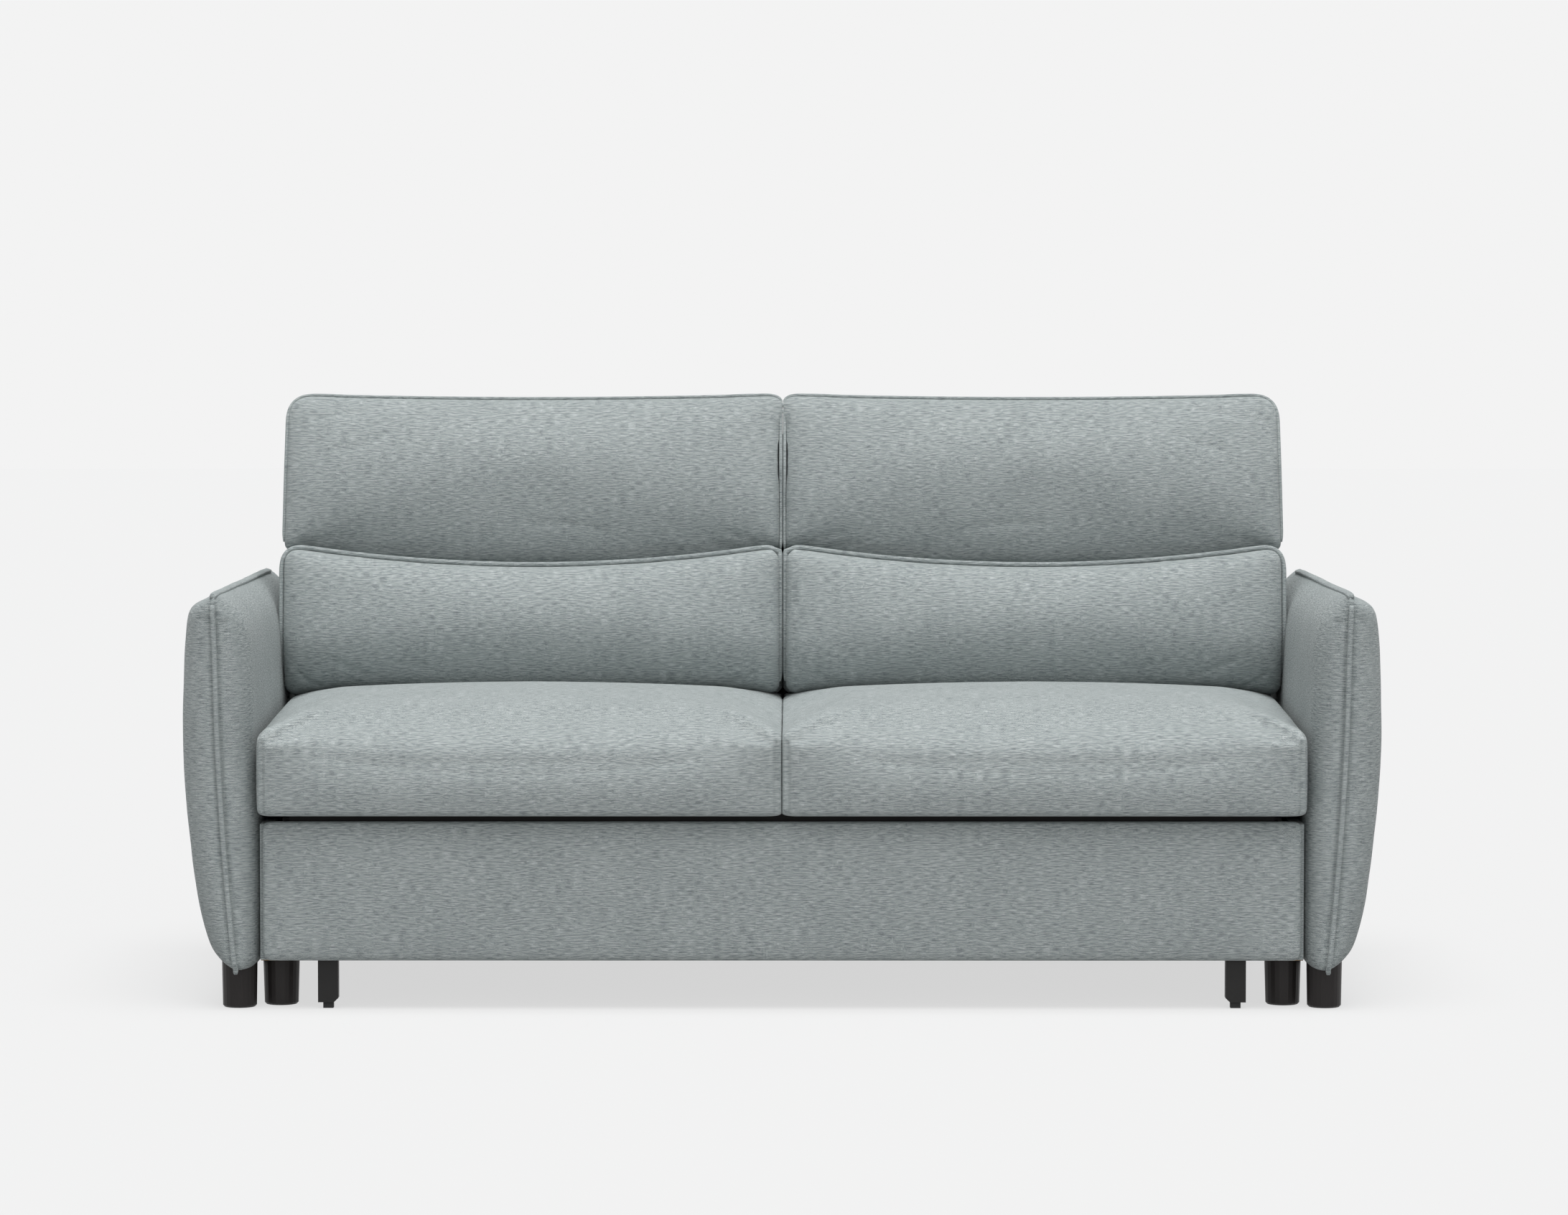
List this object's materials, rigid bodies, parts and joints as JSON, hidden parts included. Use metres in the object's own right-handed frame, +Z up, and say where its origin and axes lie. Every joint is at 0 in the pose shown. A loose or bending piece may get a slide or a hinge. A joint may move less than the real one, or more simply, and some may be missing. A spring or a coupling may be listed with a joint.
{
  "type": "sleeper sofa with pull-out bed",
  "caption": "Upholstered sleeper sofa with rounded piped arms; its back pulls forward and the seat turns over to open a folding bed.",
  "frame": {"origin": "on the floor under the middle of the sofa", "axes": "+Z up, -Y to the front, +X along the seat"},
  "size_m": [1.9, 0.95, 0.9611],
  "materials": {
    "fabric": "heathered grey blue-green twill upholstery",
    "ticking": "off-white quilted mattress cover",
    "steel": "black powder coat",
    "leg": "very dark brown satin lacquer",
    "wood": "bare plywood",
    "rubber": "matt black"
  },
  "bodies": {
    "base": {"arm_left": "fabric", "arm_right": "fabric", "front_panel": "fabric", "rear_panel": "fabric", "front_beam": "wood", "rear_beam": "wood", "side_rail_left": "wood", "side_rail_right": "wood", "side_plate_left": "steel", "side_plate_right": "steel", "arm_leg_front_left": "leg", "arm_leg_front_right": "leg", "arm_leg_rear_left": "leg", "arm_leg_rear_right": "leg", "base_leg_front_left": "leg", "base_leg_front_right": "leg", "base_leg_rear_left": "leg", "base_leg_rear_right": "leg", "leg_shoe_front_left": "steel", "leg_shoe_front_right": "steel", "leg_shoe_rear_left": "steel", "leg_shoe_rear_right": "steel", "metal_foot_left": "steel", "metal_foot_right": "steel", "foot_tip_left": "rubber", "foot_tip_right": "rubber"},
    "lift_links_rear": {"lift_link_rear_left": "steel", "lift_link_rear_right": "steel"},
    "lift_links_front": {"lift_link_front_left": "steel", "lift_link_front_right": "steel"},
    "head_section": {"head_frame": "steel", "mattress_head": "ticking"},
    "seat_section": {"seat_frame": "steel", "mattress_middle": "ticking", "seat_cushion_left": "fabric", "seat_cushion_right": "fabric"},
    "back_section": {"back_frame": "steel", "mattress_foot": "ticking", "lumbar_cushion_left": "fabric", "lumbar_cushion_right": "fabric", "upper_cushion_left": "fabric", "upper_cushion_right": "fabric"},
    "middle_leg": {"middle_support_leg": "steel", "middle_support_leg_tip": "rubber"},
    "foot_leg": {"foot_support_leg": "steel", "foot_support_leg_tip": "rubber"}
  },
  "joints": [
    {"name": "rear_link_pivot", "type": "hinge", "parent": "base", "child": "lift_links_rear", "pos_m": [0, 0.1269, 0.19806], "axis": [1, 0, 0], "range_deg": [0, 125]},
    {"name": "head_carrier_pivot", "type": "hinge", "parent": "lift_links_rear", "child": "head_section", "pos_m": [0, 0.2533, 0.092], "axis": [1, 0, 0], "range_deg": [-125, 0]},
    {"name": "front_link_pivot", "type": "hinge", "parent": "base", "child": "lift_links_front", "pos_m": [0, -0.26988, 0.19806], "axis": [1, 0, 0], "range_deg": [0, 125]},
    {"name": "seat_flip", "type": "hinge", "parent": "head_section", "child": "seat_section", "pos_m": [0, -0.412, 0.19445], "axis": [1, 0, 0], "range_deg": [0, 180]},
    {"name": "back_fold", "type": "hinge", "parent": "seat_section", "child": "back_section", "pos_m": [0, 0.25, 0.2969], "axis": [1, 0, 0], "range_deg": [-82, 0]},
    {"name": "middle_leg_pivot", "type": "hinge", "parent": "seat_section", "child": "middle_leg", "pos_m": [0, 0.174, 0.3219], "axis": [1, 0, 0], "range_deg": [-90, 0]},
    {"name": "foot_leg_pivot", "type": "hinge", "parent": "back_section", "child": "foot_leg", "pos_m": [0, 0.30012, 0.83314], "axis": [1, 0, 0], "range_deg": [-90, 0]}
  ],
  "couplings": [
    {"joint": "rear_link_pivot", "follows": "seat_flip", "ratio": 0.69444},
    {"joint": "head_carrier_pivot", "follows": "seat_flip", "ratio": -0.69444},
    {"joint": "front_link_pivot", "follows": "seat_flip", "ratio": 0.69444},
    {"joint": "back_fold", "follows": "seat_flip", "ratio": -0.45556},
    {"joint": "middle_leg_pivot", "follows": "seat_flip", "ratio": -0.5},
    {"joint": "foot_leg_pivot", "follows": "seat_flip", "ratio": -0.5}
  ]
}
